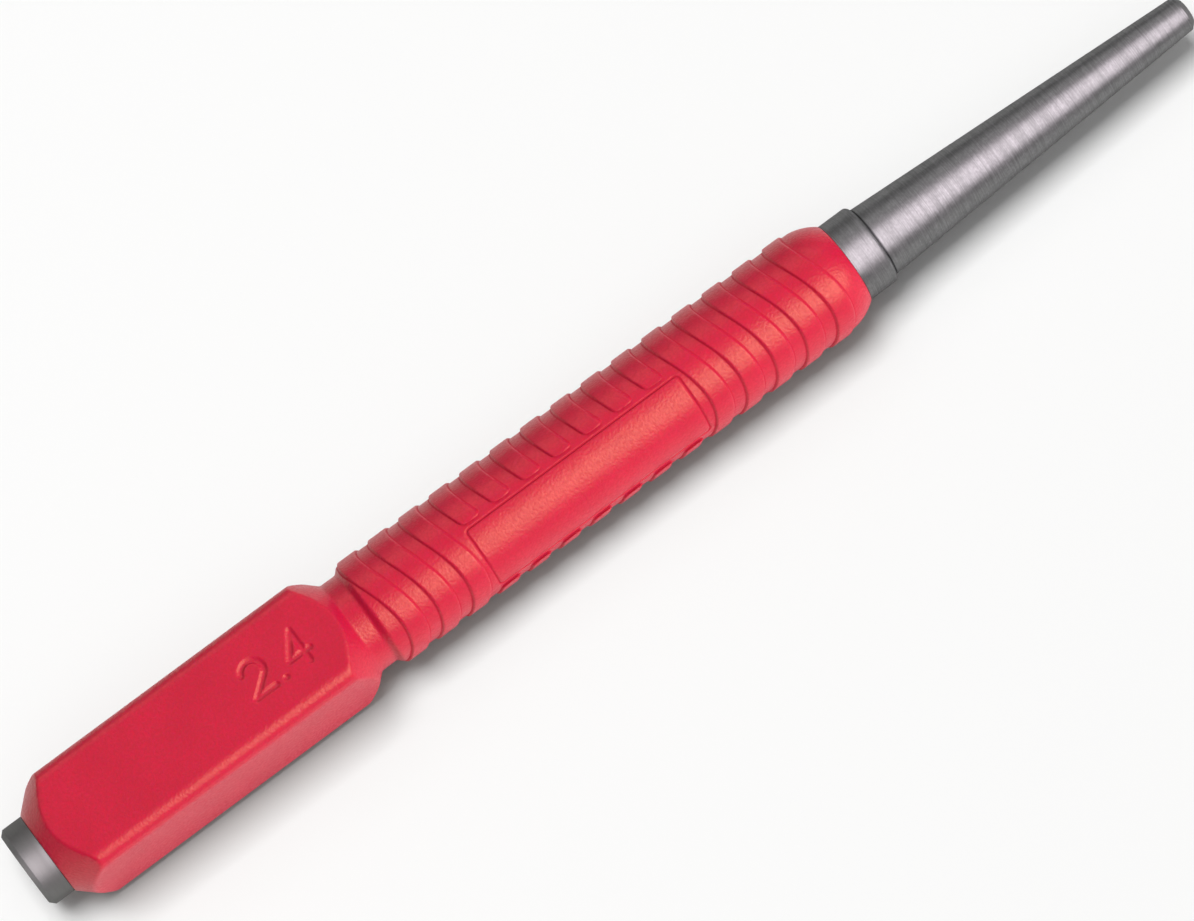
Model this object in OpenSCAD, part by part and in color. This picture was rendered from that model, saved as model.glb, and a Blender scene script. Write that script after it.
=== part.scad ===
// Nail setter: a punch turned from one steel bar, with a soft vinyl grip sleeve moulded round it.
// Sizes are in millimetres. Stations are measured along the tool from its striking face.
// The tool lies on one flat of the grip's square block, with its tip towards +X.

/* [Steel punch] */
// Length of the tool from the striking face to the tip
tool_l = 127; // [120:0.5:150]
// Diameter of the bar, which shows at the head and at the collar
bar_d = 7.94; // [7.4:0.02:8.2]
// Length of the bare head behind the sleeve
head_l = 2.4; // [1.2:0.1:6]
// Bevel round the striking face
head_bevel = 0.45; // [0.1:0.05:0.9]
// Length of the bare collar in front of the sleeve
collar_l = 3.1; // [1.5:0.1:6]
// Radius of the collar's front edge
collar_edge_r = 0.4; // [0.1:0.05:0.8]
// Height of the shoulder between the collar and the taper
shoulder_h = 0.47; // [0.3:0.01:0.9]
// Diameter of the taper where the tip's bevel begins
taper_end_d = 3.42; // [3.2:0.02:4.4]
// Diameter of the tip's end face, the size that the setter is sold by
tip_d = 2.4; // [1.8:0.1:3]
// Length of the bevel round the tip
tip_bevel_l = 0.5; // [0.2:0.05:1.5]
// Diameter of the cup in the end face, which keeps the tip on a nail's head
cup_d = 1.4; // [0.6:0.1:1.6]
// Depth of the cup
cup_depth = 0.35; // [0.1:0.05:0.8]
// Depth of the turned seat that locks the sleeve between the head and the collar
seat_depth = 0.25; // [0.1:0.05:0.6]

/* [Grip block] */
// Width of the square block across its flats
block_w = 10.6; // [10:0.1:12]
// Radius of the block's long edges
block_edge_r = 1.4; // [0.5:0.1:2.5]
// Length of the block with both of its bevelled ends
block_l = 32.7; // [24:0.1:38]
// Slope of the bevelled ends against the tool's axis, in degrees
bevel_slope = 43; // [35:1:60]
// How far the sleeve's rims stand out from the bare steel
rim_step = 0.06; // [0.02:0.01:0.2]
// Diameter of the neck between the block and the ribbed grip
neck_d = 9.15; // [8.9:0.05:9.5]
// Length of the neck
neck_l = 1.6; // [0.8:0.1:4]
// Radius of the fillets at both ends of the neck
neck_fillet_r = 0.35; // [0.1:0.05:0.6]
// Gap left between the moulded sleeve and the steel
moulding_gap = 0.02; // [0.01:0.01:0.08]

/* [Ribbed grip] */
// Diameter of the grip over its ribs
grip_d = 10.6; // [10.3:0.1:11.6]
// Slope of the flare from the neck up to the grip, in degrees
flare_slope = 45; // [35:1:60]
// Height of a rib
rib_h = 0.22; // [0.1:0.02:0.3]
// Width of a rib along the tool
rib_w = 1.9; // [1.2:0.05:2.4]
// Distance from one rib to the next
rib_pitch = 3.31; // [3:0.05:3.6]
// Number of ribs
rib_count = 15; // [12:1:17]
// Radius of the curve that each rib follows round the grip, seen from the panel's side
rib_curve_r = 9.4; // [8:0.1:20]
// Plain grip between the neck and the crown of the first rib
lead_in_l = 1.5; // [0.8:0.1:4]
// Length of the rounded nose
nose_l = 2.5; // [1.5:0.1:4]
// Plain nose in front of the last rib's crown
nose_plain_l = 2.06; // [1.2:0.02:4]

/* [Panel] */
// First rib that the panel interrupts
panel_first_rib = 4; // [2:1:5]
// Number of ribs that the panel interrupts
panel_ribs = 7; // [3:1:8]
// Width of the panel between the ends of the cut ribs
panel_w = 7.2; // [5:0.1:8]
// Width of the outline that is sunk round the panel
outline_w = 6.5; // [4:0.1:7]
// Radius of the outline's corners
outline_corner_r = 0.5; // [0.3:0.1:1.8]
// Plain border between the outline and the uncut ribs
outline_border = 0.45; // [0.2:0.05:0.8]
// Width of the outline's groove
groove_w = 0.2; // [0.1:0.02:0.28]
// Depth of the outline's groove
groove_depth = 0.15; // [0.05:0.01:0.3]

/* [Hidden] */
$fn = 96;

// Turn of the panel from straight up towards the front, which puts it over one edge of the block
panel_turn = 45;
// Overrun of the solids that only cut or only join, as a share of the bar, so that no faces coincide
overrun = bar_d / 8;

bar_r = bar_d / 2;
seat_r = bar_r - seat_depth;
rim_r = bar_r + rim_step;
neck_r = neck_d / 2;
rib_r = grip_d / 2;
valley_r = rib_r - rib_h;
block_reach = block_w / sqrt(2);
axis_h = block_w / 2;

// Stations along the tool
sleeve_start = head_l;
block_end = sleeve_start + block_l;
neck_end = block_end + neck_l;
neck_middle = (block_end + neck_end) / 2;
grip_start = neck_end + (valley_r - neck_r) / tan(flare_slope);
first_rib = grip_start + lead_in_l;
last_rib = first_rib + (rib_count - 1) * rib_pitch;
sleeve_end = last_rib + rib_w + nose_plain_l;
nose_start = sleeve_end - nose_l;
taper_start = sleeve_end + collar_l;
bevel_start = tool_l - tip_bevel_l;

// The nose is a slice of a ball on the tool's axis, through the grip's valleys and through the rim
ball_shift = (pow(rim_r, 2) - pow(valley_r, 2) + pow(nose_l, 2)) / (2 * nose_l);
ball_centre = nose_start + ball_shift;
ball_r = norm([valley_r, ball_shift]);

// The panel's outline runs between the last rib behind it and the first rib in front of it
panel_last_rib = panel_first_rib + panel_ribs - 1;
outline_start = first_rib + (panel_first_rib - 2) * rib_pitch + rib_w + outline_border;
outline_end = first_rib + panel_last_rib * rib_pitch - curve_drop(outline_w / 2) - outline_border;

// How far a rib falls back from its crown at the distance v to the side of it
function curve_drop(v) = rib_curve_r - sqrt(pow(rib_curve_r, 2) - pow(v, 2));

// Puts a shape made along Z from the striking face into its place, lying along X
module in_place()
    translate([-tool_l / 2, 0, axis_h])
        rotate([0, 90, 0])
            rotate([0, 0, 180])
                children();

// Extrudes an outline drawn as (station, distance to the side) both ways along the panel's direction
module through_panel(depth)
    rotate([0, 0, panel_turn])
        rotate([0, 90, 0])
            rotate([0, 0, 180])
                linear_extrude(height = 2 * depth, center = true)
                    children();

module rounded_rectangle(size, r) {
    square([size.x, size.y - 2 * r], center = true);
    square([size.x - 2 * r, size.y], center = true);
    for (x = [-1, 1], y = [-1, 1])
        translate([x * (size.x / 2 - r), y * (size.y / 2 - r)])
            circle(r);
}

// What rounding takes off an outline's outer corner, which points towards +X and +Y
module corner_waste(corner, r) {
    difference() {
        translate([corner.x - r, corner.y - r])
            square(r + overrun);
        translate([corner.x - r, corner.y - r])
            circle(r);
    }
}

// The bar as a turned profile of (radius, station)
module steel_punch() {
    profile = [
        [0, 0],
        [bar_r - head_bevel, 0],
        [bar_r, head_bevel],
        [bar_r, sleeve_start],
        [seat_r, sleeve_start],
        [seat_r, sleeve_end],
        [bar_r, sleeve_end],
        [bar_r, taper_start],
        [bar_r - shoulder_h, taper_start],
        [taper_end_d / 2, bevel_start],
        [tip_d / 2, tool_l],
        [cup_d / 2, tool_l],
        [0, tool_l - cup_depth]
    ];
    color([0.52, 0.52, 0.54])
        in_place()
            rotate_extrude()
                difference() {
                    polygon(profile);
                    corner_waste([bar_r, taper_start], min(collar_edge_r, shoulder_h));
                }
}

// Rod with a round end, which shapes the nose and trims the last rib to it
module nose_limit(r) {
    cylinder(r = r, h = ball_centre);
    translate([0, 0, ball_centre])
        sphere(r);
}

// Outline of the groove that is turned for the neck, with its inner corners rounded
module neck_groove() {
    rear = neck_fillet_r * tan(bevel_slope / 2);
    front = neck_fillet_r * tan(flare_slope / 2);
    reach = block_reach - neck_r + overrun;
    polygon([
        [neck_r, block_end + rear],
        [neck_r, neck_end - front],
        [neck_r + front * sin(flare_slope), neck_end + front * cos(flare_slope)],
        [neck_r + reach, neck_end + reach / tan(flare_slope)],
        [neck_r + reach, block_end - reach / tan(bevel_slope)],
        [neck_r + rear * sin(bevel_slope), block_end - rear * cos(bevel_slope)]
    ]);
    for (station = [block_end + rear, neck_end - front])
        translate([neck_r + neck_fillet_r, station])
            circle(neck_fillet_r);
}

// Square block, neck and grip in one, with the grip at the level of the valleys between its ribs
module grip_blank() {
    start = sleeve_start + moulding_gap;
    end = sleeve_end - moulding_gap;
    outline = [
        [0, start],
        [rim_r, start],
        [block_reach, start + (block_reach - rim_r) / tan(bevel_slope)],
        [block_reach, neck_middle],
        [valley_r, neck_middle],
        [valley_r, end],
        [0, end]
    ];
    intersection() {
        rotate_extrude()
            difference() {
                polygon(outline);
                neck_groove();
            }
        union() {
            linear_extrude(height = neck_middle)
                rounded_rectangle([block_w, block_w], block_edge_r);
            nose_limit(ball_r);
        }
    }
}

// Band between two curves, where one rib crosses the grip
module rib_band(rib) {
    crown = first_rib + (rib - 1) * rib_pitch;
    difference() {
        translate([crown + rib_w - rib_curve_r, 0])
            circle(rib_curve_r);
        translate([crown - rib_curve_r, 0])
            circle(rib_curve_r);
    }
}

module ribs(numbers) {
    intersection() {
        nose_limit(rib_r);
        through_panel(grip_d)
            for (rib = numbers)
                rib_band(rib);
    }
}

// Room over the panel, where its ribs are left out
module panel_room() {
    rotate([0, 0, panel_turn])
        translate([0, -panel_w / 2, neck_end])
            cube([grip_d, panel_w, sleeve_end - neck_end]);
}

module panel_groove() {
    length = outline_end - outline_start;
    difference() {
        through_panel(grip_d)
            translate([outline_start + length / 2, 0])
                difference() {
                    rounded_rectangle([length, outline_w], outline_corner_r);
                    rounded_rectangle([length - 2 * groove_w, outline_w - 2 * groove_w],
                        outline_corner_r - groove_w);
                }
        translate([0, 0, outline_start - overrun])
            cylinder(r = valley_r - groove_depth, h = length + 2 * overrun);
        rotate([0, 0, panel_turn])
            translate([-2 * grip_d, -grip_d, outline_start - overrun])
                cube([2 * grip_d, 2 * grip_d, length + 2 * overrun]);
    }
}

module grip_sleeve() {
    plain = [for (rib = [1:rib_count]) if (rib < panel_first_rib || rib > panel_last_rib) rib];
    cut = [for (rib = [panel_first_rib:panel_last_rib]) rib];
    color([0.84, 0.15, 0.25])
        in_place()
            difference() {
                union() {
                    grip_blank();
                    ribs(plain);
                    difference() {
                        ribs(cut);
                        panel_room();
                    }
                }
                panel_groove();
                cylinder(r = seat_r + moulding_gap, h = tool_l);
            }
}

steel_punch();
grip_sleeve();
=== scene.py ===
import math
import bpy
import numpy as np
from mathutils import Matrix, Vector


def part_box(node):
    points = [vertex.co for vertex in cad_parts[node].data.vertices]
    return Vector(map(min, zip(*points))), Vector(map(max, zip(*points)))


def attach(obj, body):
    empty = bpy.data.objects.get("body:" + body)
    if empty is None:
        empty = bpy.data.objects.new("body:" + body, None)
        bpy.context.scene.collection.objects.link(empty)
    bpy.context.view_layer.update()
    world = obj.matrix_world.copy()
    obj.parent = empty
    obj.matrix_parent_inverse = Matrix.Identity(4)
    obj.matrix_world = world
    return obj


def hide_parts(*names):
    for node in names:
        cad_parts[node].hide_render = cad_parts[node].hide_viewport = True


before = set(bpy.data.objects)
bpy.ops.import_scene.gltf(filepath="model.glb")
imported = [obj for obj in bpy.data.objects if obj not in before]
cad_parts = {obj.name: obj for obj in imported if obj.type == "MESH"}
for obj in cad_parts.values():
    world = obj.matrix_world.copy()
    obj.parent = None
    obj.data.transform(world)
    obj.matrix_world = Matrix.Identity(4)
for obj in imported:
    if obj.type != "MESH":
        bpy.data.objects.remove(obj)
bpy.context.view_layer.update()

# Steel punch. One bar of hardened tool steel, turned on a lathe: a bevelled head to strike, a seat
# that the grip is moulded onto, a bare collar, and a long taper down to the bevelled, cupped tip.
# The marks of turning and polishing run round it. Sizes are in millimetres, stations from the head.
MM = 0.001
punch_low, punch_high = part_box("steel_punch")
sleeve_low, sleeve_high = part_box("grip_sleeve")
HEAD_X = punch_low.x
AXIS_Z = (punch_low.z + punch_high.z) / 2
TOOL_L = (punch_high.x - HEAD_X) / MM
BAR_R = (punch_high.y - punch_low.y) / 2 / MM
MOULDING_GAP = 0.02
SLEEVE_START = (sleeve_low.x - HEAD_X) / MM
SLEEVE_END = (sleeve_high.x - HEAD_X) / MM
SEAT_START = SLEEVE_START - MOULDING_GAP
SEAT_END = SLEEVE_END + MOULDING_GAP
SEAT_DEPTH = 0.25
SEAT_R = BAR_R - SEAT_DEPTH
HEAD_BEVEL = 0.45
COLLAR_L = 3.1
COLLAR_END = SEAT_END + COLLAR_L
COLLAR_EDGE_R = 0.4
SHOULDER_H = 0.47
TAPER_ROOT_R = BAR_R - SHOULDER_H
TAPER_END_R = 1.71
TIP_BEVEL_L = 0.5
TIP_R = 1.2
CUP_R = 0.7
CUP_DEPTH = 0.35
CUP_POINT_R = 0.02
BROKEN_EDGE_R = 0.06
FINE_EDGE_R = 0.04
SHOULDER_FOOT_R = 0.03
HOLD = 0.06
PUNCH_COLUMNS = 192


def rounded_profile(corners, steps=6):
    """Turned profile from corners of (station, radius, rounding). A corner becomes an arc that touches
    both its sides and starts rounding * tan(half the turn) before it. Every long side gets one more
    point close to each of its ends, which keeps its shading straight."""
    corners = np.array(corners, float)
    points = [corners[:1, :2]]
    for before, here, after in zip(corners[:-2], corners[1:-1], corners[2:]):
        arrive = (here - before)[:2] / np.linalg.norm((here - before)[:2])
        leave = (after - here)[:2] / np.linalg.norm((after - here)[:2])
        turn = math.atan2(arrive[0] * leave[1] - arrive[1] * leave[0], arrive @ leave)
        inward = np.array([-arrive[1], arrive[0]]) * math.copysign(1, turn)
        start = here[:2] - arrive * here[2] * math.tan(abs(turn) / 2)
        sweep = np.linspace(0, abs(turn), steps if here[2] else 1)[:, None]
        points.append(start + here[2] * (inward * (1 - np.cos(sweep)) + arrive * np.sin(sweep)))
    points = np.concatenate([*points, corners[-1:, :2]])
    sides = np.diff(points, axis=0)
    lengths = np.linalg.norm(sides, axis=1)
    long_sides = np.flatnonzero(lengths > 3 * HOLD)
    step = sides[long_sides] * (HOLD / lengths[long_sides])[:, None]
    held = np.stack([points[long_sides] + step, points[long_sides + 1] - step], axis=1)
    points = np.insert(points, np.repeat(long_sides + 1, 2), held.reshape(-1, 2), axis=0)
    return points[:, :1], points[:, 1:]


def around(stations, radii, turns):
    """Places of points at a station along the tool, a radius from its axis and a turn about it. The turn
    is zero over the block's edge between its top and its front, and grows towards the front."""
    from_top = turns + math.pi / 4
    x = HEAD_X + stations * MM
    y = -radii * np.sin(from_top) * MM
    z = AXIS_Z + radii * np.cos(from_top) * MM
    return np.stack(np.broadcast_arrays(x, y, z), axis=-1)


def skin(name, points, joined=False):
    """Closed surface over a grid of points, whose rows run along the piece and whose columns run round
    it. Each cell is one quad. The last row meets the first if joined, or else each end row is filled
    with a fan of triangles round its middle."""
    rows, columns = points.shape[:2]
    corner = np.arange(rows * columns).reshape(rows, columns)
    aside, ahead = np.roll(corner, -1, axis=1), np.roll(corner, -1, axis=0)
    quads = np.stack([corner, aside, np.roll(aside, -1, axis=0), ahead], axis=-1)
    faces = quads[:rows if joined else -1].reshape(-1, 4).tolist()
    points = points.reshape(-1, 3)
    if not joined:
        poles = points[corner[[0, -1]]].mean(axis=1)
        first, last = np.full(columns, len(points)), np.full(columns, len(points) + 1)
        faces += np.stack([first, aside[0], corner[0]], axis=-1).tolist()
        faces += np.stack([last, corner[-1], aside[-1]], axis=-1).tolist()
        points = np.concatenate([points, poles])
    mesh = bpy.data.meshes.new(name)
    mesh.from_pydata(points.tolist(), [], faces)
    mesh.polygons.foreach_set("use_smooth", np.ones(len(faces), bool))
    piece = bpy.data.objects.new(name, mesh)
    bpy.context.scene.collection.objects.link(piece)
    return piece


punch_turns = np.linspace(0, 2 * math.pi, PUNCH_COLUMNS, endpoint=False)
punch_stations, punch_radii = rounded_profile([
    (0, BAR_R - HEAD_BEVEL - HOLD, 0),
    (0, BAR_R - HEAD_BEVEL, BROKEN_EDGE_R),
    (HEAD_BEVEL, BAR_R, BROKEN_EDGE_R),
    (SEAT_START, BAR_R, 0),
    (SEAT_START, SEAT_R, 0),
    (SEAT_END, SEAT_R, 0),
    (SEAT_END, BAR_R, FINE_EDGE_R),
    (COLLAR_END, BAR_R, COLLAR_EDGE_R),
    (COLLAR_END, TAPER_ROOT_R, SHOULDER_FOOT_R),
    (TOOL_L - TIP_BEVEL_L, TAPER_END_R, BROKEN_EDGE_R),
    (TOOL_L, TIP_R, BROKEN_EDGE_R),
    (TOOL_L, CUP_R, FINE_EDGE_R),
    (TOOL_L - CUP_DEPTH, CUP_POINT_R, 0),
])
punch = skin("turned_punch", around(punch_stations, punch_radii, punch_turns))


def material(name):
    """New node material: its tree and its Principled shader."""
    made = bpy.data.materials.new(name)
    made.use_nodes = True
    return made, made.node_tree, made.node_tree.nodes["Principled BSDF"]


def node(tree, kind, links=(), **settings):
    """Adds a shader node, sets its own fields, and fills the named inputs with a value or an output."""
    made = tree.nodes.new(kind)
    for field, value in settings.items():
        setattr(made, field, value)
    for socket, value in dict(links).items():
        if isinstance(value, bpy.types.NodeSocket):
            tree.links.new(value, made.inputs[socket])
        else:
            made.inputs[socket].default_value = value
    return made


def grain_group():
    """Shader group for an uneven finish: noise on object coordinates, stretched by a count of grains per
    metre along each axis, and mapped from its middle range to run from a low to a high value."""
    group = bpy.data.node_groups.new("grain", "ShaderNodeTree")
    for name, kind in (("Per Metre", "NodeSocketVector"), ("Detail", "NodeSocketFloat"),
                       ("Low", "NodeSocketFloat"), ("High", "NodeSocketFloat")):
        group.interface.new_socket(name=name, in_out="INPUT", socket_type=kind)
    group.interface.new_socket(name="Value", in_out="OUTPUT", socket_type="NodeSocketFloat")
    given = node(group, "NodeGroupInput").outputs
    place = node(group, "ShaderNodeTexCoord").outputs["Object"]
    stretched = node(group, "ShaderNodeVectorMath", {0: place, 1: given["Per Metre"]}, operation="MULTIPLY")
    noise = node(group, "ShaderNodeTexNoise", {
        "Vector": stretched.outputs[0], "Scale": 1.0, "Detail": given["Detail"]})
    level = node(group, "ShaderNodeMapRange", {
        "Value": noise.outputs[0], "From Min": 0.3, "From Max": 0.7,
        "To Min": given["Low"], "To Max": given["High"]})
    node(group, "NodeGroupOutput", {"Value": level.outputs[0]})
    return group


GRAIN = grain_group()


def grain(tree, per_metre, detail, low, high):
    """Places the grain group in a material with its own values, and gives its output."""
    placed = node(tree, "ShaderNodeGroup", node_tree=GRAIN)
    for name, value in (("Per Metre", per_metre), ("Detail", detail), ("Low", low), ("High", high)):
        placed.inputs[name].default_value = value
    return placed.outputs["Value"]


def blend(tree, factor, a, b):
    """Mix of two colours."""
    mixed = node(tree, "ShaderNodeMix", data_type="RGBA")
    for socket, value in ((mixed.inputs[0], factor), (mixed.inputs[6], a), (mixed.inputs[7], b)):
        if isinstance(value, bpy.types.NodeSocket):
            tree.links.new(value, socket)
        else:
            socket.default_value = value
    return mixed.outputs[2]


# The steel's colours: its ground, the streaks, the bright turning marks, the dark mottling, the stains, the
# struck head, which is dull up to a place inside the grip, and a band of painted shade at the shoulder's
# foot, where the shoulder shades the taper.
DARK_STEEL = (0.17, 0.172, 0.17, 1)
STREAKED_STEEL = (0.22, 0.22, 0.22, 1)
TURNED_STEEL = (0.31, 0.305, 0.31, 1)
MOTTLED_STEEL = (0.14, 0.143, 0.14, 1)
STAINED_STEEL = (0.22, 0.225, 0.22, 1)
STRUCK_STEEL = (0.21, 0.212, 0.205, 1)
SHOULDER_SHADE = (0.03, 0.03, 0.032, 1)
SHOULDER_SHADE_MIDDLE = COLLAR_END + 0.06
SHOULDER_SHADE_HALF_W = (0.05, 0.16)
DULL_END = (4, 5)

steel, tree, shader = material("turned_steel")
turning = grain(tree, (9500, 350, 350), 4.0, 0.0, 1.0)
streaks = grain(tree, (1500, 200, 200), 4.0, 0.0, 1.0)
mottle = grain(tree, (5000, 3500, 3500), 3.0, 0.0, 0.5)
colour = blend(tree, streaks, DARK_STEEL, STREAKED_STEEL)
colour = blend(tree, turning, colour, TURNED_STEEL)
colour = blend(tree, mottle, colour, MOTTLED_STEEL)
stain = grain(tree, (160, 260, 260), 3.0, 0.0, 0.3)
colour = blend(tree, stain, colour, STAINED_STEEL)
place = node(tree, "ShaderNodeSeparateXYZ", {0: node(tree, "ShaderNodeTexCoord").outputs["Object"]})
dull_head = node(tree, "ShaderNodeMapRange", {
    "Value": place.outputs["X"],
    "From Min": HEAD_X + DULL_END[0] * MM, "From Max": HEAD_X + DULL_END[1] * MM,
    "To Min": 1.0, "To Max": 0.0}).outputs[0]
# Painted shade: a dark band round the taper at the shoulder's foot, darkest just in front of the shoulder.
from_foot = node(tree, "ShaderNodeMath", {0: place.outputs["X"], 1: HEAD_X + SHOULDER_SHADE_MIDDLE * MM},
                 operation="SUBTRACT")
from_foot = node(tree, "ShaderNodeMath", {0: from_foot.outputs[0]}, operation="ABSOLUTE")
shoulder_shade = node(tree, "ShaderNodeMapRange", {
    "Value": from_foot.outputs[0], "From Min": SHOULDER_SHADE_HALF_W[0] * MM, "From Max": SHOULDER_SHADE_HALF_W[1] * MM,
    "To Min": 0.85, "To Max": 0.0})
colour = blend(tree, shoulder_shade.outputs[0], colour, SHOULDER_SHADE)
colour = blend(tree, dull_head, colour, STRUCK_STEEL)
tree.links.new(colour, shader.inputs["Base Color"])
roughness = node(tree, "ShaderNodeMath", {
    0: dull_head, 1: 0.12, 2: grain(tree, (1300, 90, 90), 3.0, 0.46, 0.56)}, operation="MULTIPLY_ADD")
tree.links.new(roughness.outputs[0], shader.inputs["Roughness"])
bump = node(tree, "ShaderNodeBump", {"Height": turning, "Strength": 0.3, "Distance": 0.00002})
tree.links.new(bump.outputs[0], shader.inputs["Normal"])
round_bar = node(tree, "ShaderNodeTangent", direction_type="RADIAL", axis="X")
tree.links.new(round_bar.outputs[0], shader.inputs["Tangent"])
shader.inputs["Metallic"].default_value = 1.0
shader.inputs["Anisotropic"].default_value = 0.5
shader.inputs["Anisotropic Rotation"].default_value = 0.25
shader.inputs["Specular Tint"].default_value = (0.4, 0.4, 0.4, 1)
punch.data.materials.append(steel)
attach(punch, "root")
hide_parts("steel_punch")

# Moulded grip. Soft red vinyl, moulded round the bar in one piece: a square block whose ends are turned
# to cones, a neck, fifteen low ribs that arch over the grip, a panel that cuts seven of them, and a
# rounded nose. The moulding tool leaves every edge a little soft and the surface finely grained.
BORE_R = SEAT_R + MOULDING_GAP
RIM_STEP = 0.06
RIM_R = BAR_R + RIM_STEP
LIP_R = 0.07
BORE_RING = 0.05
BLOCK_HALF = (sleeve_high.y - sleeve_low.y) / 2 / MM
BLOCK_EDGE_R = 1.4
BEVEL_SLOPE = 43
BEVEL_RISE = math.tan(math.radians(BEVEL_SLOPE))
BEVEL_SOFTNESS = 0.16
BLOCK_END = 35.1
NECK_R = 4.575
NECK_END = 36.7
NECK_SOFTNESS = 0.13
NECK_REACH = 1
FLARE_RISE = 1.0
VALLEY_R = 5.08
RIB_R = 5.3
RIB_W = 1.9
RIB_WALL = 0.1
RIB_PITCH = 3.31
RIB_COUNT = 15
RIB_CURVE_R = 9.4
FIRST_RIB = 38.705
NOSE_L = 2.5
NOSE_SOFTNESS = 0.03
CUT_RIBS = (3, 9)
CUT_HALF = 3.6
CUT_CORNER_R = 0.35
CUT_WALL = 0.035
OUTLINE_HALF = 3.25
OUTLINE_BORDER = 0.45
OUTLINE_CORNER_R = 0.5
GROOVE_W = 0.2
GROOVE_SHARE = 0.7
GROOVE_DEPTH = 0.15


def smooth_step(t):
    """Zero below t = 0, one above t = 1, and 3t^2 - 2t^3 between them."""
    t = np.clip(t, 0, 1)
    return t * t * (3 - 2 * t)


def lower_of(a, b, softness):
    """The lower of two radii. Where they come within the softness of each other, their meeting is
    rounded by taking off the square of what is left of it over four times the softness."""
    near = np.maximum(softness - np.abs(a - b), 0)
    return np.minimum(a, b) - near * near / (4 * softness)


def higher_of(a, b, softness):
    """The higher of two radii, rounded in the same way."""
    return -lower_of(-a, -b, softness)


def square_reach(turns):
    """How far the block reaches from the axis: its half width over the cosine of the turn from the
    nearest flat's middle, and on a round edge the far point at which that ray leaves the edge's circle."""
    off_flat = np.abs(np.mod(turns, math.pi / 2) - math.pi / 4)
    off_edge = math.pi / 4 - off_flat
    centre = (BLOCK_HALF - BLOCK_EDGE_R) * math.sqrt(2)
    across = np.maximum(BLOCK_EDGE_R ** 2 - (centre * np.sin(off_edge)) ** 2, 0)
    on_flat = np.tan(off_flat) * BLOCK_HALF < BLOCK_HALF - BLOCK_EDGE_R
    return np.where(on_flat, BLOCK_HALF / np.cos(off_flat), centre * np.cos(off_edge) + np.sqrt(across))


def rib_drop(turns):
    """How far a rib falls back from its crown over the panel: it follows a circle seen from above."""
    return RIB_CURVE_R - np.sqrt(RIB_CURVE_R ** 2 - ((VALLEY_R + RIB_R) / 2 * np.sin(turns)) ** 2)


def arc_length(half_width):
    """Length along the grip's surface from the panel's middle line to a half width seen from above."""
    return VALLEY_R * math.asin(half_width / VALLEY_R)


def box_distance(along, across, corner_r):
    """Distance outside a rectangle with rounded corners, from how far a point is past each of its sides."""
    along, across = along + corner_r, across + corner_r
    outside = np.hypot(np.maximum(along, 0), np.maximum(across, 0))
    return outside + np.minimum(np.maximum(along, across), 0) - corner_r


ball_shift = (RIM_R ** 2 - VALLEY_R ** 2 + NOSE_L ** 2) / (2 * NOSE_L)
ball_centre = SEAT_END - NOSE_L + ball_shift
ball_r = math.hypot(VALLEY_R, ball_shift)
last_rib = FIRST_RIB + (RIB_COUNT - 1) * RIB_PITCH
rib_gap = RIB_PITCH - RIB_W
outline_start = FIRST_RIB + CUT_RIBS[0] * RIB_PITCH - rib_gap + OUTLINE_BORDER
outline_end = (FIRST_RIB + (CUT_RIBS[1] + 1) * RIB_PITCH - OUTLINE_BORDER
               - RIB_CURVE_R + math.sqrt(RIB_CURVE_R ** 2 - OUTLINE_HALF ** 2))


def rib_distance(stations, turns):
    """Distance outside the nearest rib, and half the width of its wall there. A cut rib is a band with
    rounded corners that ends beside the panel in a steeper wall."""
    along = stations + rib_drop(turns) - FIRST_RIB
    rib = np.clip(np.floor((along + rib_gap / 2) / RIB_PITCH), 0, RIB_COUNT - 1)
    past_wall = np.abs(along - rib * RIB_PITCH - RIB_W / 2) - RIB_W / 2
    cut = (rib >= CUT_RIBS[0]) & (rib <= CUT_RIBS[1])
    past_end = np.where(cut, arc_length(CUT_HALF) - VALLEY_R * np.abs(turns), -RIB_W)
    near_end = np.clip(1 + past_end / CUT_CORNER_R, 0, 1)
    half_wall = RIB_WALL + (CUT_WALL - RIB_WALL) * near_end
    return box_distance(past_wall, past_end, CUT_CORNER_R), half_wall


def rib_mask(stations, turns):
    """One on a rib's crown and zero off it, with a smooth step across its wall."""
    outside, half_wall = rib_distance(stations, turns)
    return smooth_step(0.5 - outside / (2 * half_wall))


def groove_mask(stations, turns):
    """One along the middle of the outline round the panel, falling to zero a little past its edges."""
    past_end = np.abs(stations - (outline_start + outline_end) / 2) - (outline_end - outline_start) / 2
    past_side = VALLEY_R * np.abs(turns) - arc_length(OUTLINE_HALF)
    inside = box_distance(past_end, past_side, OUTLINE_CORNER_R) + GROOVE_W / 2
    return smooth_step(1 - np.abs(inside) / (GROOVE_SHARE * GROOVE_W))


def crevice_shade_mask(stations, turns):
    """Where shade is painted into the vinyl: one at the foot of every rib's wall and in the outline's
    groove, falling evenly to zero beside it.
    """
    outside, half_wall = rib_distance(stations, turns)
    foot = np.clip(1 - np.abs(outside - half_wall) / RIB_WALL, 0, 1)
    return np.maximum(foot, groove_mask(stations, turns))


# The tip's size in millimetres, 2.4, is sunk in the block's top. Its strokes are lines of points along
# the tool and across it.
MARK_STATION = 27.9
DIGIT_H = 3.3
DIGIT_W = 2.1
DIGIT_GAP = 2.1
STROKE_HALF = 0.34
STROKE_DEPTH = 0.18
MARK_HALF_L = 4
MARK_HALF_TURN = 0.7


def arc(centre, radius, start, end):
    """Points on a circle from one angle to another, in degrees."""
    angles = np.radians(np.linspace(start, end, 24))
    return np.stack([centre[0] + radius * np.cos(angles), centre[1] + radius * np.sin(angles)], axis=-1)


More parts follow.
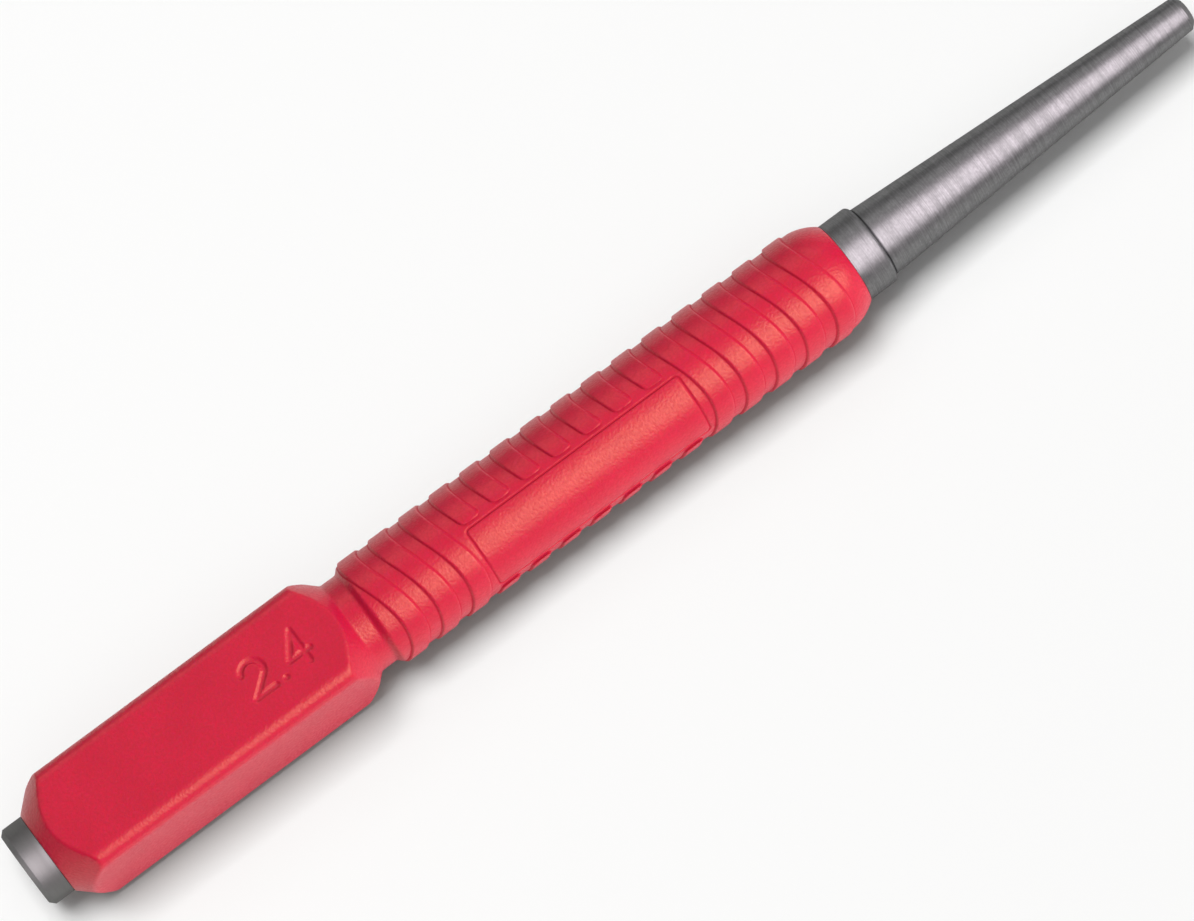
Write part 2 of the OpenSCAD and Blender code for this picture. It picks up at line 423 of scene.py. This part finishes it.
left, low, high = -DIGIT_W - DIGIT_GAP / 2, -DIGIT_H / 2, DIGIT_H / 2
bowl_r = DIGIT_W / 2
four, stem = DIGIT_GAP / 2, DIGIT_GAP / 2 + DIGIT_W * 0.72
crossbar = low + DIGIT_H * 0.3
mark_strokes = [
    np.concatenate([arc((left + bowl_r, high - bowl_r), bowl_r, 165, -38), [(left, low)]]),
    np.array([(left, low), (left + DIGIT_W, low)]),
    np.array([(-0.01, low), (0.01, low)]),
    np.array([(stem, low), (stem, high), (four, crossbar), (four + DIGIT_W, crossbar)]),
]


def mark_mask(stations, turns):
    """One along the middle of the mark's strokes, falling as a parabola to zero at their edges: one less
    the square of the distance to the nearest stroke over its half width."""
    along = stations - MARK_STATION
    across = -BLOCK_HALF * np.tan(np.clip(turns + math.pi / 4, -MARK_HALF_TURN, MARK_HALF_TURN))
    nearest = np.full(np.shape(along), np.inf)
    for path in mark_strokes:
        for (x, y), (next_x, next_y) in zip(path[:-1], path[1:]):
            side_x, side_y = next_x - x, next_y - y
            share = ((along - x) * side_x + (across - y) * side_y) / (side_x ** 2 + side_y ** 2)
            share = np.clip(share, 0, 1)
            nearest = np.minimum(nearest, np.hypot(along - x - share * side_x, across - y - share * side_y))
    return np.maximum(1 - (nearest / STROKE_HALF) ** 2, 0)


def grip_radii(stations, turns):
    """Radius of the grip's skin. The block is the lowest of its square section and two cones, the grip
    the lower of its flare and its level with the ball of the nose, and neither goes below the neck."""
    block = lower_of(square_reach(turns), RIM_R + (stations - SLEEVE_START) * BEVEL_RISE, BEVEL_SOFTNESS)
    block = lower_of(block, NECK_R + (BLOCK_END - stations) * BEVEL_RISE, BEVEL_SOFTNESS)
    into_ball = np.maximum(stations - ball_centre, 0)
    valley = lower_of(np.sqrt(ball_r ** 2 - into_ball ** 2), VALLEY_R, NOSE_SOFTNESS)
    grip = lower_of(valley, NECK_R + (stations - NECK_END) * FLARE_RISE, NECK_SOFTNESS)
    level = np.where(stations < (BLOCK_END + NECK_END) / 2, block, grip)
    by_neck = (stations > BLOCK_END - NECK_REACH) & (stations < NECK_END + NECK_REACH)
    level = np.where(by_neck, higher_of(level, NECK_R, NECK_SOFTNESS), level)
    crown = np.sqrt(RIB_R ** 2 - into_ball ** 2)
    level = level + rib_mask(stations, turns) * (crown - level)
    beside_mark = np.abs(turns + math.pi / 4)
    on_top = (np.abs(stations - MARK_STATION) < MARK_HALF_L) & (beside_mark < MARK_HALF_TURN)
    sunk = STROKE_DEPTH * np.where(on_top, mark_mask(stations, turns), 0) / np.cos(turns + math.pi / 4)
    return level - GROOVE_DEPTH * groove_mask(stations, turns) - sunk


FLANK_TURN = 80
FLANK_FADE = 25


def pulled(radii, stations, turns):
    """Turns of the skin's points once its ribs stand parallel to the direction in which the mould opened,
    which is over the panel's middle. A point keeps its distance to the side of that middle: the sine
    of its new turn is the old sine times the valley's radius over its own. It fades out lower down."""
    off_middle = np.minimum(np.abs(turns), math.pi / 2)
    on_rib = np.where(stations > NECK_END, np.maximum(radii, VALLEY_R), VALLEY_R)
    back = off_middle - np.arcsin(np.sin(off_middle) * VALLEY_R / on_rib)
    fade = smooth_step((np.radians(FLANK_TURN) - np.abs(turns)) / np.radians(FLANK_FADE))
    return turns - np.sign(turns) * back * fade


# The grid's rows lie closest on the cones, the fillets, the mark and the walls of the ribs, whose arch
# they follow. Over the panel they run straight, as its outline does.
lip = LIP_R * (1 - np.cos(np.linspace(0, math.pi / 2, 5)))
wall = RIB_WALL * np.array([-2, -1.2, -0.4, 0.4, 1])
one_rib = np.concatenate([wall, RIB_W * np.array([0.14, 0.5, 0.86]), RIB_W - wall, [RIB_W + rib_gap / 2]])
groove_rows = np.linspace(-0.7, 1.7, 7) * GROOVE_W
rows = np.unique(np.concatenate([
    SLEEVE_START + lip,
    np.arange(SLEEVE_START + 0.2, 3.5, 0.25),  # lower part of the rear cone
    np.arange(3.5, 6.0, 0.12),  # where the rear cone meets the flats and the edges
    np.arange(6.2, 23.6, 2.3),  # plain flats
    np.arange(MARK_STATION - 3.6, MARK_STATION + 3.6, 0.1),
    np.arange(31.7, 34.6, 0.12),  # front cone
    np.arange(34.65, 35.5, 0.08),  # fillet between the front cone and the neck
    [35.7, 36.2],  # neck
    np.arange(36.4, 38.55, 0.13),  # flare and the plain grip before the ribs
    (FIRST_RIB + np.arange(RIB_COUNT)[:, None] * RIB_PITCH + one_rib).ravel(),
    outline_start + groove_rows,
    outline_start + np.arange(0.4, 1.0, 0.12),
    outline_end - groove_rows,
    outline_end - np.arange(0.4, 1.0, 0.12),
    np.arange(last_rib + RIB_W + 0.2, SLEEVE_END - 0.12, 0.15),
    SLEEVE_END - lip,
]))
rows = rows[np.diff(rows, prepend=-1) > 0.012][:, None]

# Its columns lie closest on the block's edges, the mark, the outline's sides and the ends of the cut ribs.
cut_turn, outline_turn = math.asin(CUT_HALF / VALLEY_R), math.asin(OUTLINE_HALF / VALLEY_R)
cut_columns = CUT_WALL / VALLEY_R * np.array([-5.5, -3, -1.1, -0.6, -0.2, 0.2, 0.6, 1.1, 2.5, 5, 8, 11])
outline_columns = GROOVE_W / VALLEY_R * np.linspace(-1.2, 0.2, 7)
columns = np.concatenate([
    np.radians(np.arange(0, 360, 3.2)),  # all round
    *[np.radians(edge + np.linspace(-9, 9, 7)) for edge in (0, 90, 180, 270)],  # the block's edges
    -math.pi / 4 + np.arctan(np.linspace(-2.1, 2.1, 43) / BLOCK_HALF),  # across the mark
    cut_turn + cut_columns, -cut_turn - cut_columns,
    outline_turn + outline_columns, -outline_turn - outline_columns,
])
columns = np.unique(np.mod(columns, 2 * math.pi))
turns = columns[np.diff(columns, prepend=-1) > np.radians(0.11)]
turns = np.where(turns > math.pi, turns - 2 * math.pi, turns)

END_MARGIN = 0.06
SIDE_MARGIN = 0.05
arched = np.interp(
    rows, [NECK_END, FIRST_RIB - RIB_WALL, last_rib + RIB_W + RIB_WALL, SLEEVE_END - LIP_R], [0, 1, 1, 0])
straight = np.interp(rows, [
    outline_start - OUTLINE_BORDER + RIB_WALL, outline_start - END_MARGIN,
    outline_end + END_MARGIN, FIRST_RIB + (CUT_RIBS[1] + 1) * RIB_PITCH - RIB_WALL], [0, 1, 1, 0])
from_outline, border = VALLEY_R * (np.abs(turns) - outline_turn), VALLEY_R * (cut_turn - outline_turn)
beside = (from_outline - SIDE_MARGIN) / (border - 2 * SIDE_MARGIN)
stations = rows - rib_drop(turns) * arched * (1 - straight * (1 - smooth_step(beside)))
from_end = np.clip(np.minimum(rows - SLEEVE_START, SLEEVE_END - rows), 0, LIP_R)
radii = grip_radii(stations, turns)
turned = pulled(radii, stations, turns)
radii = radii - LIP_R + np.sqrt(LIP_R ** 2 - (LIP_R - from_end) ** 2)
inner_stations = np.array([SLEEVE_START, SLEEVE_START, SLEEVE_END, SLEEVE_END])[:, None] + 0 * turns
inner_radii = np.array([BORE_R, BORE_R + BORE_RING, BORE_R + BORE_RING, BORE_R])[:, None] + 0 * turns
stations = np.concatenate([inner_stations[:2], stations, inner_stations[2:]])
radii = np.concatenate([inner_radii[:2], radii, inner_radii[2:]])
turned = np.pad(turned, ((2, 2), (0, 0)), mode="edge")
grip = skin("moulded_grip", around(stations, radii, turned), joined=True)
# Painted shade: this attribute marks the feet of the ribs' walls and the outline's groove, where the
# vinyl's colour is darkened.
crevice_shade = grip.data.attributes.new("crevice_shade", "FLOAT", "POINT")
all_turns = np.broadcast_to(turns, stations.shape)
crevice_shade.data.foreach_set("value", crevice_shade_mask(stations, all_turns).ravel())

# The vinyl's colours: two for its slow clouds, its specks, painted shade at the feet of its ribs and in the
# outline's groove, and a weak one for the light that it throws on other things, which keeps the shadow on
# the table grey.
DEEP_RED = (0.75, 0.004, 0.060, 1)
BRIGHT_RED = (0.82, 0.006, 0.068, 1)
SPECK_RED = (0.60, 0.002, 0.045, 1)
CREVICE_SHADE_RED = (0.7, 0.0, 0.045, 1)
BOUNCED_RED = (0.16, 0.05, 0.055, 1)
FINE_GRAIN = (4200, 4200, 4200)

vinyl, tree, shader = material("soft_vinyl")
clouds = grain(tree, (260, 260, 260), 4.0, 0.0, 1.0)
colour = blend(tree, clouds, DEEP_RED, BRIGHT_RED)
colour = blend(tree, grain(tree, FINE_GRAIN, 2.0, 0.0, 0.5), colour, SPECK_RED)
# Painted shade: the vinyl turns a darker red at the feet of the ribs and in the groove.
in_crevice_shade = node(tree, "ShaderNodeAttribute", attribute_name="crevice_shade").outputs["Fac"]
colour = blend(tree, in_crevice_shade, colour, CREVICE_SHADE_RED)
bounced = node(tree, "ShaderNodeLightPath").outputs["Is Diffuse Ray"]
colour = blend(tree, bounced, colour, BOUNCED_RED)
tree.links.new(colour, shader.inputs["Base Color"])
roughness = node(tree, "ShaderNodeMath", {
    0: in_crevice_shade, 1: 0.5, 2: grain(tree, FINE_GRAIN, 2.0, 0.32, 0.46)}, operation="MULTIPLY_ADD")
tree.links.new(roughness.outputs[0], shader.inputs["Roughness"])
pebble = grain(tree, FINE_GRAIN, 2.0, 0.0, 1.0)
ripple = grain(tree, (900, 900, 900), 3.0, 0.0, 1.0)
height = node(tree, "ShaderNodeMath", {0: ripple, 1: 0.3, 2: pebble}, operation="MULTIPLY_ADD")
bump = node(tree, "ShaderNodeBump", {"Height": height.outputs[0], "Strength": 1.0, "Distance": 0.000016})
tree.links.new(bump.outputs[0], shader.inputs["Normal"])
shader.inputs["Specular IOR Level"].default_value = 0.7
shader.inputs["Specular Tint"].default_value = (1.0, 0.9, 0.5, 1)
shader.inputs["Subsurface Weight"].default_value = 0.3
shader.inputs["Subsurface Radius"].default_value = (1.0, 0.12, 0.08)
shader.inputs["Subsurface Scale"].default_value = 0.0005
grip.data.materials.append(vinyl)
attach(grip, "root")
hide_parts("grip_sleeve")

# Stage. A white table in a dim room. A square lamp and a wide weak one light the table, one in front of
# the grip shines on it from the tip's side, a dimmer one stands behind the tool, and a broad one is there
# for the steel. The camera looks down on the head, a little from the front.
FLOOR_HALF = 3.0
TABLE_WHITE = (0.95, 0.95, 0.945, 1)
TABLE_BOUNCE = (0.6, 0.6, 0.6, 1)
WHITE_LIGHT = (1.0, 1.0, 1.0)
floor_mesh = bpy.data.meshes.new("floor")
floor_mesh.from_pydata(
    [(-FLOOR_HALF, -FLOOR_HALF, 0), (FLOOR_HALF, -FLOOR_HALF, 0),
     (FLOOR_HALF, FLOOR_HALF, 0), (-FLOOR_HALF, FLOOR_HALF, 0)], [], [(0, 1, 2, 3)])
floor = bpy.data.objects.new("floor", floor_mesh)
bpy.context.scene.collection.objects.link(floor)
paper, tree, shader = material("white_table")
bounced = node(tree, "ShaderNodeLightPath").outputs["Is Diffuse Ray"]
colour = blend(tree, bounced, TABLE_WHITE, TABLE_BOUNCE)
tree.links.new(colour, shader.inputs["Base Color"])
shader.inputs["Roughness"].default_value = 0.9
shader.inputs["Specular IOR Level"].default_value = 0.0
floor.data.materials.append(paper)


def softbox(name, ahead, from_up, distance, size, power, colour):
    """Rectangular lamp over a place ahead of the tool's middle. It faces the tool's line, turned from
    straight up towards +Y by an angle in degrees."""
    lamp = bpy.data.lights.new(name, "AREA")
    lamp.shape, lamp.size, lamp.size_y = "RECTANGLE", size[0], size[1]
    lamp.energy, lamp.color = power, colour
    placed = bpy.data.objects.new(name, lamp)
    angle = math.radians(from_up)
    placed.location = (ahead, distance * math.sin(angle), distance * math.cos(angle))
    placed.rotation_euler = (-angle, 0, 0)
    bpy.context.scene.collection.objects.link(placed)
    return placed


def light_only(lamp, name, things, state):
    """Makes a lamp light the given things alone, or everything but them."""
    lit = bpy.data.collections.new(name)
    for thing in things:
        lit.objects.link(thing)
    for member in lit.collection_objects:
        member.light_linking.link_state = state
    lamp.light_linking.receiver_collection = lit


table_light = softbox("table_light", -0.3, 9.5, 2.4, (1.2, 1.2), 45.0, WHITE_LIGHT)
light_only(table_light, "table", [floor], "INCLUDE")
table_fill = softbox("table_fill", -1.0, 0, 2.4, (4.0, 4.8), 15.0, WHITE_LIGHT)
light_only(table_fill, "table_around", [floor], "INCLUDE")
tool_light = softbox("tool_light", 0.44, -41, 0.65, (1.0, 0.5), 6.9, (1.0, 0.94, 0.95))
light_only(tool_light, "tool", [grip], "INCLUDE")
back_light = softbox("back_light", 0.2, 45, 1.2, (2.0, 0.6), 3.2, WHITE_LIGHT)
light_only(back_light, "all_but_table", [floor], "EXCLUDE")
steel_light = softbox("steel_light", 0, -24, 1.2, (2.0, 1.6), 45.0, (1.0, 0.9, 0.97))
light_only(steel_light, "steel", [punch], "INCLUDE")

# The room is dim towards the horizon and lighter overhead.
HORIZON_LEVEL = 0.05
OVERHEAD_LEVEL = 0.28
world = bpy.data.worlds.new("room")
bpy.context.scene.world = world
world.use_nodes = True
tree = world.node_tree
height = node(tree, "ShaderNodeSeparateXYZ", {0: node(tree, "ShaderNodeTexCoord").outputs["Generated"]})
level = node(tree, "ShaderNodeMapRange", {
    "Value": height.outputs["Z"], "From Min": 0.0, "From Max": 1.0,
    "To Min": HORIZON_LEVEL, "To Max": OVERHEAD_LEVEL})
tree.nodes["Background"].inputs["Color"].default_value = (1, 1, 1, 1)
tree.links.new(level.outputs[0], tree.nodes["Background"].inputs["Strength"])

# The camera's place is given from a station on the tool's axis.
CAMERA_STATION = 10.1
CAMERA_OVER = Vector((CAMERA_STATION - TOOL_L / 2, 0, 0)) * MM + Vector((0, 0, AXIS_Z))
CAMERA_DISTANCE = 0.540
CAMERA_ASIDE = 0.000976
CAMERA_LEAN = math.radians(16.5)
CAMERA_TURN = math.radians(5.4)
CAMERA_ROLL = math.radians(36.52)
CAMERA_LENS = 186.9
up_line = Vector((0, -math.sin(CAMERA_LEAN), math.cos(CAMERA_LEAN)))
far_side = Vector((0, math.cos(CAMERA_LEAN), math.sin(CAMERA_LEAN)))
along = Vector((math.cos(CAMERA_TURN), 0, 0)) + math.sin(CAMERA_TURN) * up_line
back = math.cos(CAMERA_TURN) * up_line - Vector((math.sin(CAMERA_TURN), 0, 0))
right = math.cos(CAMERA_ROLL) * along - math.sin(CAMERA_ROLL) * far_side
upward = math.sin(CAMERA_ROLL) * along + math.cos(CAMERA_ROLL) * far_side
camera = bpy.data.objects.new("camera", bpy.data.cameras.new("camera"))
bpy.context.scene.collection.objects.link(camera)
camera.data.lens = CAMERA_LENS
camera.data.sensor_width = 36.0
camera.data.clip_start = 0.01
camera.data.clip_end = 20.0
camera.matrix_world = Matrix.Translation(
    CAMERA_OVER + CAMERA_DISTANCE * up_line - CAMERA_ASIDE * far_side
) @ Matrix((right, upward, back)).transposed().to_4x4()
bpy.context.scene.camera = camera
bpy.context.scene.view_settings.view_transform = "Standard"
